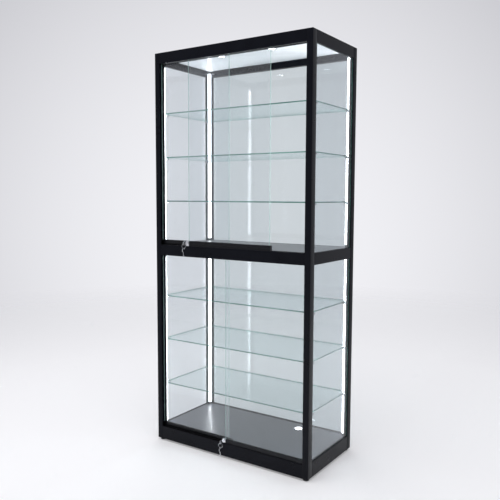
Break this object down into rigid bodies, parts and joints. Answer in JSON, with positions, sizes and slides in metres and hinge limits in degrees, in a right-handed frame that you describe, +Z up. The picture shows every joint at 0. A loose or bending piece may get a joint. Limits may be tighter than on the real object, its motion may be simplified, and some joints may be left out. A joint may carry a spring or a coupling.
{
  "type": "glass display cabinet",
  "caption": "Tall free-standing glass display cabinet with a black metal frame, sliding glass doors with key locks on each tier, glass shelves and corner light strips.",
  "frame": {"origin": "on the floor under the middle of the outline, hanging keys included, which is 18 mm in front of the middle of the frame", "axes": "+Z up, -Y the side with the sliding doors, +X to the right seen from the front"},
  "size_m": [0.9, 0.486, 2],
  "materials": {
    "frame_black": "satin",
    "deck_grey": "satin",
    "roof_black": "satin",
    "ceiling_white": "gloss",
    "pane_glass": "clear",
    "shelf_glass": "clear",
    "clip_metal": "satin",
    "channel_aluminium": "satin",
    "light_diffuser": "satin",
    "black_plastic": "matte",
    "chrome": "polished",
    "track_black": "anodised satin",
    "shoe_black": "anodised satin",
    "foot_rubber": "matte",
    "screw_steel": "polished"
  },
  "bodies": {
    "cabinet": {"base_deck": "deck_grey", "base_front_rail": "frame_black", "base_rear_rail": "frame_black", "base_side_rails": "frame_black", "ceiling_panel": "ceiling_white", "corner_screws": "screw_steel", "door_bottom_tracks": "track_black", "door_top_tracks": "track_black", "front_posts": "frame_black", "lamp_lenses": "light_diffuser", "lamp_rings": "chrome", "levelling_feet": "foot_rubber", "light_driver": "black_plastic", "light_strip_channels": "channel_aluminium", "light_strip_diffusers": "light_diffuser", "light_strip_end_caps": "black_plastic", "lower_rear_pane": "pane_glass", "lower_shelf_1": "shelf_glass", "lower_shelf_2": "shelf_glass", "lower_shelf_3": "shelf_glass", "lower_side_panes": "pane_glass", "mid_deck": "deck_grey", "mid_front_rail": "frame_black", "mid_rear_rail": "frame_black", "mid_side_rails": "frame_black", "power_inlet": "black_plastic", "rear_posts": "frame_black", "roof_panel": "roof_black", "shelf_clips": "clip_metal", "top_front_rail": "frame_black", "top_rear_rail": "frame_black", "top_side_rails": "frame_black", "upper_rear_pane": "pane_glass", "upper_shelf_1": "shelf_glass", "upper_shelf_2": "shelf_glass", "upper_shelf_3": "shelf_glass", "upper_side_panes": "pane_glass"},
    "lower_left_door": {"lower_left_door_glass": "pane_glass", "lower_left_door_shoe": "shoe_black", "lower_left_door_glides": "black_plastic"},
    "lower_right_door": {"lower_right_door_glass": "pane_glass", "lower_right_door_shoe": "shoe_black", "lower_right_door_glides": "black_plastic", "lower_lock_housing": "chrome"},
    "lower_lock_plug": {"lower_lock_plug_and_key": "chrome"},
    "lower_lock_bolt": {"lower_lock_bolt": "chrome"},
    "lower_key_ring": {"lower_key_ring": "chrome"},
    "lower_spare_key": {"lower_spare_key": "chrome"},
    "upper_left_door": {"upper_left_door_glass": "pane_glass", "upper_left_door_shoe": "shoe_black", "upper_left_door_glides": "black_plastic"},
    "upper_right_door": {"upper_right_door_glass": "pane_glass", "upper_right_door_shoe": "shoe_black", "upper_right_door_glides": "black_plastic", "upper_lock_housing": "chrome"},
    "upper_lock_plug": {"upper_lock_plug_and_key": "chrome"},
    "upper_lock_bolt": {"upper_lock_bolt": "chrome"},
    "upper_key_ring": {"upper_key_ring": "chrome"},
    "upper_spare_key": {"upper_spare_key": "chrome"}
  },
  "joints": [
    {"name": "lower_left_door_slide", "type": "slide", "parent": "cabinet", "child": "lower_left_door", "axis": [1, 0, 0], "range_m": [0, 0.404]},
    {"name": "lower_right_door_slide", "type": "slide", "parent": "cabinet", "child": "lower_right_door", "axis": [1, 0, 0], "range_m": [-0.381, 0]},
    {"name": "lower_key_turn", "type": "hinge", "parent": "lower_right_door", "child": "lower_lock_plug", "pos_m": [-0.021, -0.207, 0.0857], "axis": [0, 1, 0], "range_deg": [0, 90]},
    {"name": "lower_bolt_throw", "type": "slide", "parent": "lower_right_door", "child": "lower_lock_bolt", "axis": [0, 1, 0], "range_m": [0, 0.0035]},
    {"name": "lower_ring_swing", "type": "hinge", "parent": "lower_lock_plug", "child": "lower_key_ring", "pos_m": [-0.021, -0.232, 0.0833], "axis": [1, 0, 0], "range_deg": [-60, 8]},
    {"name": "lower_spare_key_swing", "type": "hinge", "parent": "lower_key_ring", "child": "lower_spare_key", "pos_m": [-0.021, -0.232, 0.0603], "axis": [1, 0, 0], "range_deg": [-45, 8]},
    {"name": "upper_left_door_slide", "type": "slide", "parent": "cabinet", "child": "upper_left_door", "axis": [1, 0, 0], "range_m": [0, 0.404]},
    {"name": "upper_right_door_slide", "type": "slide", "parent": "cabinet", "child": "upper_right_door", "axis": [1, 0, 0], "range_m": [-0.155, 0.194]},
    {"name": "upper_key_turn", "type": "hinge", "parent": "upper_right_door", "child": "upper_lock_plug", "pos_m": [-0.247, -0.207, 1.0527], "axis": [0, 1, 0], "range_deg": [0, 90]},
    {"name": "upper_bolt_throw", "type": "slide", "parent": "upper_right_door", "child": "upper_lock_bolt", "axis": [0, 1, 0], "range_m": [0, 0.0035]},
    {"name": "upper_ring_swing", "type": "hinge", "parent": "upper_lock_plug", "child": "upper_key_ring", "pos_m": [-0.247, -0.232, 1.0503], "axis": [1, 0, 0], "range_deg": [-60, 8]},
    {"name": "upper_spare_key_swing", "type": "hinge", "parent": "upper_key_ring", "child": "upper_spare_key", "pos_m": [-0.247, -0.232, 1.0273], "axis": [1, 0, 0], "range_deg": [-45, 8]}
  ],
  "couplings": [
    {"joint": "lower_bolt_throw", "follows": "lower_key_turn", "m_per_rad": 0.0022282},
    {"joint": "upper_bolt_throw", "follows": "upper_key_turn", "m_per_rad": 0.0022282}
  ]
}
